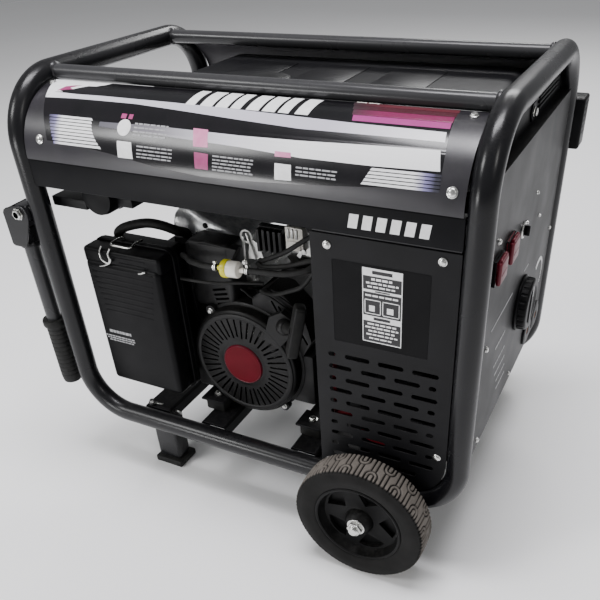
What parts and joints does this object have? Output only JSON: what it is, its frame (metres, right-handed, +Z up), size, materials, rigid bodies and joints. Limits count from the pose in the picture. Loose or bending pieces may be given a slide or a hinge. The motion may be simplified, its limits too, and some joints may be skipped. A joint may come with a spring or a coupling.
{
  "type": "engine driven welder",
  "caption": "Petrol welder-generator in an open tube frame, with two wheels, rubber feet, folding handles, recoil starter and a right-hand electronics bay.",
  "frame": {"origin": "on the floor, under the centre of the bounding box", "axes": "+X along the frame towards the control panel and wheels, +Y from the recoil starter's side to the other long side, +Z up"},
  "size_m": [0.75, 0.618, 0.6625],
  "materials": {
    "frame_paint": "gloss black paint",
    "sheet_paint": "satin black paint",
    "engine_black": "satin black engine paint",
    "black_plastic": "fine-grained black",
    "rubber": "dull black",
    "tyre": "dusty grey tread",
    "zinc": "zinc plated",
    "cast_alloy": "as cast",
    "red_plastic": "dark crimson",
    "yellow_plastic": "yellow",
    "copper_steel": "varnished windings on steel"
  },
  "bodies": {
    "root": {"air_cleaner_case": "black_plastic", "air_cleaner_lid": "black_plastic", "bay_cover_front": "sheet_paint", "bay_cover_rear": "sheet_paint", "breather_hose": "rubber", "carburettor": "cast_alloy", "control_panel": "sheet_paint", "crankcase": "engine_black", "cross_member_left": "frame_paint", "cross_member_middle": "frame_paint", "cross_member_right": "frame_paint", "cylinder": "cast_alloy", "fan_housing": "engine_black", "foot_pad_front": "rubber", "foot_pad_rear": "rubber", "frame_front_hoop": "frame_paint", "frame_rear_hoop": "frame_paint", "fuel_filter": "yellow_plastic", "fuel_hose_carburettor": "rubber", "fuel_hose_tap": "rubber", "fuel_tank": "sheet_paint", "heat_shield": "zinc", "inverter_module": "black_plastic", "lifting_eye": "zinc", "muffler": "engine_black", "rear_terminal_box": "black_plastic", "recoil_cover": "engine_black", "recoil_disc": "red_plastic", "rocker_cover": "engine_black", "side_beam_front": "frame_paint", "side_beam_rear": "frame_paint", "stator": "cast_alloy", "tank_panel_front": "sheet_paint", "tank_panel_rear": "sheet_paint", "voltage_regulator": "engine_black", "wheel_nut_front": "zinc", "wheel_nut_rear": "zinc"},
    "wheel_front": {"rim_front": "black_plastic", "tyre_front": "tyre"},
    "wheel_rear": {"rim_rear": "black_plastic", "tyre_rear": "tyre"},
    "handle_front": {"handle_front": "frame_paint", "handle_grip_front": "rubber"},
    "handle_rear": {"handle_rear": "frame_paint", "handle_grip_rear": "rubber"},
    "recoil_grip": {"recoil_grip": "rubber"},
    "recoil_pulley": {"recoil_pulley": "black_plastic"},
    "engine": {"flywheel": "cast_alloy", "rotor_shaft": "copper_steel"},
    "cooling_fan": {"cooling_fan": "black_plastic"},
    "fuel_cap": {"fuel_cap": "black_plastic"},
    "fuel_tap": {"fuel_tap_lever": "red_plastic"},
    "choke": {"choke_lever": "zinc"},
    "current_knob": {"current_knob": "black_plastic"},
    "engine_switch": {"engine_switch": "zinc"},
    "outlet_flap_front": {"outlet_cover_front": "red_plastic"},
    "outlet_flap_rear": {"outlet_cover_rear": "red_plastic"},
    "air_cleaner_bail": {"air_cleaner_bail": "zinc"},
    "oil_dipstick": {"oil_dipstick": "yellow_plastic"}
  },
  "joints": [
    {"name": "wheel_front_spin", "type": "hinge", "parent": "root", "child": "wheel_front", "pos_m": [0.226, -0.273, 0.1], "axis": [0, 1, 0], "continuous": true},
    {"name": "wheel_rear_spin", "type": "hinge", "parent": "root", "child": "wheel_rear", "pos_m": [0.226, 0.273, 0.1], "axis": [0, 1, 0], "continuous": true},
    {"name": "handle_front_fold", "type": "hinge", "parent": "root", "child": "handle_front", "pos_m": [-0.3365, -0.2225, 0.47], "axis": [0, 1, 0], "range_deg": [0, 90]},
    {"name": "handle_rear_fold", "type": "hinge", "parent": "root", "child": "handle_rear", "pos_m": [-0.3365, 0.2225, 0.47], "axis": [0, 1, 0], "range_deg": [0, 90]},
    {"name": "recoil_pull", "type": "slide", "parent": "root", "child": "recoil_grip", "axis": [0.6, -0.8, 0], "range_m": [0, 0.5], "stiffness_N_per_m": 30, "springref_m": -0.3},
    {"name": "recoil_pulley_spin", "type": "hinge", "parent": "root", "child": "recoil_pulley", "pos_m": [-0.027, -0.1515, 0.232], "axis": [0, 1, 0], "range_deg": [0, 717]},
    {"name": "engine_spin", "type": "hinge", "parent": "root", "child": "engine", "pos_m": [-0.027, -0.0225, 0.232], "axis": [0, 1, 0], "continuous": true},
    {"name": "cooling_fan_spin", "type": "hinge", "parent": "root", "child": "cooling_fan", "pos_m": [0.239, -0.1725, 0.256], "axis": [0, 1, 0], "continuous": true},
    {"name": "fuel_cap_turn", "type": "hinge", "parent": "root", "child": "fuel_cap", "pos_m": [0.019, -0.0925, 0.621], "axis": [0, 0, 1], "range_deg": [0, 90]},
    {"name": "fuel_tap_turn", "type": "hinge", "parent": "root", "child": "fuel_tap", "pos_m": [0.119, -0.1728, 0.49], "axis": [0, 1, 0], "range_deg": [0, 90]},
    {"name": "choke_turn", "type": "hinge", "parent": "root", "child": "choke", "pos_m": [-0.1326, -0.0945, 0.382], "axis": [1, 0, 0], "range_deg": [0, 60]},
    {"name": "current_knob_turn", "type": "hinge", "parent": "root", "child": "current_knob", "pos_m": [0.3573, 0.0185, 0.329], "axis": [1, 0, 0], "range_deg": [-135, 135]},
    {"name": "engine_switch_turn", "type": "hinge", "parent": "root", "child": "engine_switch", "pos_m": [0.3573, -0.0385, 0.466], "axis": [1, 0, 0], "range_deg": [0, 90]},
    {"name": "outlet_flap_front_open", "type": "hinge", "parent": "root", "child": "outlet_flap_front", "pos_m": [0.364, -0.1725, 0.487], "axis": [0, -1, 0], "range_deg": [0, 100], "stiffness_Nm_per_rad": 0.01, "springref_deg": -28.65},
    {"name": "outlet_flap_rear_open", "type": "hinge", "parent": "root", "child": "outlet_flap_rear", "pos_m": [0.364, -0.1155, 0.488], "axis": [0, -1, 0], "range_deg": [0, 100], "stiffness_Nm_per_rad": 0.01, "springref_deg": -28.65},
    {"name": "air_cleaner_bail_swing", "type": "hinge", "parent": "root", "child": "air_cleaner_bail", "pos_m": [-0.201, -0.1625, 0.419], "axis": [-1, 0, 0], "range_deg": [0, 90]},
    {"name": "oil_dipstick_turn", "type": "hinge", "parent": "root", "child": "oil_dipstick", "pos_m": [-0.1054, -0.0175, 0.178], "axis": [-1, 0, 0], "range_deg": [0, 360]}
  ],
  "couplings": [
    {"joint": "recoil_pulley_spin", "follows": "recoil_pull", "rad_per_m": 25}
  ]
}
